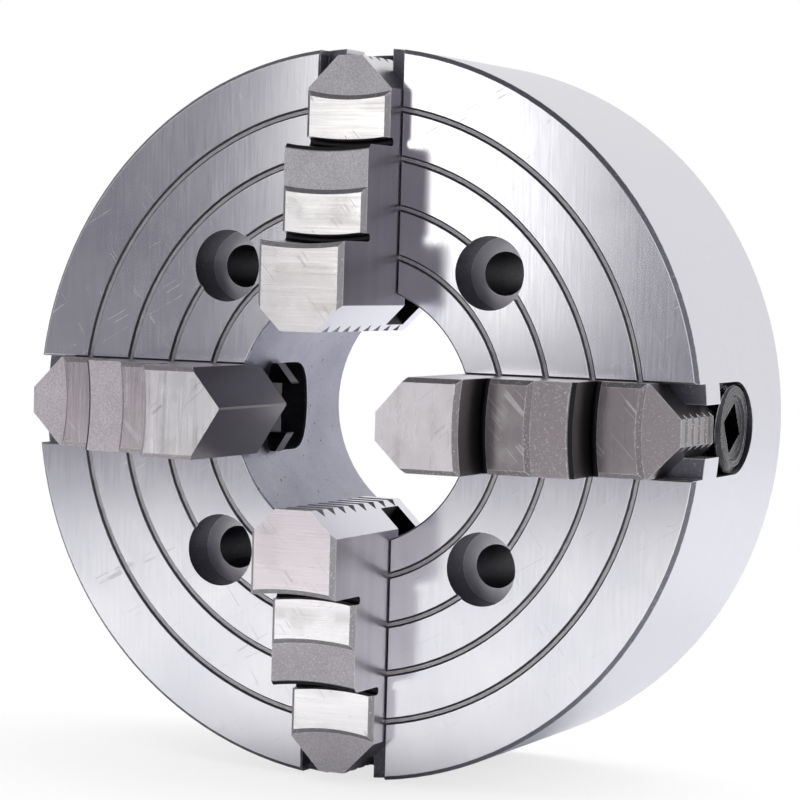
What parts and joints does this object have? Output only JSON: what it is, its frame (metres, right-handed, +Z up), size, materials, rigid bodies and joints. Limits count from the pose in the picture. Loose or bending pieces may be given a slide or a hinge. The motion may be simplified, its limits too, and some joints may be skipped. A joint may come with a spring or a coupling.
{
  "type": "lathe chuck",
  "caption": "Round steel workholding chuck with four stepped jaws, each moved on its own by a screw that a square key turns at the rim",
  "frame": {"origin": "the centre of the back mounting face, on the spindle axis", "axes": "+Z up, the spindle axis along Y, the chuck face and jaws towards -Y"},
  "size_m": [0.2, 0.104, 0.2],
  "materials": {
    "ground_body": "ground and turned bright",
    "ground_jaw": "ground lands and sides, blasted matte between",
    "black_screw": "black oxide, satin",
    "black_block": "milled, dark",
    "black_fastener": "black oxide"
  },
  "bodies": {
    "chuck": {"chuck_body": "ground_body", "thrust_block_1": "black_block", "thrust_block_2": "black_block", "thrust_block_3": "black_block", "thrust_block_4": "black_block", "block_screw_1_inner": "black_fastener", "block_screw_1_outer": "black_fastener", "block_screw_2_inner": "black_fastener", "block_screw_2_outer": "black_fastener", "block_screw_3_inner": "black_fastener", "block_screw_3_outer": "black_fastener", "block_screw_4_inner": "black_fastener", "block_screw_4_outer": "black_fastener"},
    "jaw_1": {"jaw_1": "ground_jaw"},
    "jaw_screw_1": {"jaw_screw_1": "black_screw"},
    "jaw_2": {"jaw_2": "ground_jaw"},
    "jaw_screw_2": {"jaw_screw_2": "black_screw"},
    "jaw_3": {"jaw_3": "ground_jaw"},
    "jaw_screw_3": {"jaw_screw_3": "black_screw"},
    "jaw_4": {"jaw_4": "ground_jaw"},
    "jaw_screw_4": {"jaw_screw_4": "black_screw"}
  },
  "joints": [
    {"name": "jaw_screw_1_turn", "type": "hinge", "parent": "chuck", "child": "jaw_screw_1", "pos_m": [0, -0.039, 0], "axis": [0, 0, 1], "range_deg": [-1621, 2521]},
    {"name": "jaw_1_slide", "type": "slide", "parent": "chuck", "child": "jaw_1", "axis": [0, 0, 1], "range_m": [-0.018, 0.028]},
    {"name": "jaw_screw_2_turn", "type": "hinge", "parent": "chuck", "child": "jaw_screw_2", "pos_m": [0, -0.039, 0], "axis": [1, 0, 0], "range_deg": [-1621, 2521]},
    {"name": "jaw_2_slide", "type": "slide", "parent": "chuck", "child": "jaw_2", "axis": [1, 0, 0], "range_m": [-0.018, 0.028]},
    {"name": "jaw_screw_3_turn", "type": "hinge", "parent": "chuck", "child": "jaw_screw_3", "pos_m": [0, -0.039, 0], "axis": [0, 0, -1], "range_deg": [-1621, 2521]},
    {"name": "jaw_3_slide", "type": "slide", "parent": "chuck", "child": "jaw_3", "axis": [0, 0, -1], "range_m": [-0.018, 0.028]},
    {"name": "jaw_screw_4_turn", "type": "hinge", "parent": "chuck", "child": "jaw_screw_4", "pos_m": [0, -0.039, 0], "axis": [-1, 0, 0], "range_deg": [-1621, 2521]},
    {"name": "jaw_4_slide", "type": "slide", "parent": "chuck", "child": "jaw_4", "axis": [-1, 0, 0], "range_m": [-0.018, 0.028]}
  ],
  "couplings": [
    {"joint": "jaw_screw_1_turn", "follows": "jaw_1_slide", "rad_per_m": 1570.8},
    {"joint": "jaw_screw_2_turn", "follows": "jaw_2_slide", "rad_per_m": 1570.8},
    {"joint": "jaw_screw_3_turn", "follows": "jaw_3_slide", "rad_per_m": 1570.8},
    {"joint": "jaw_screw_4_turn", "follows": "jaw_4_slide", "rad_per_m": 1570.8}
  ]
}
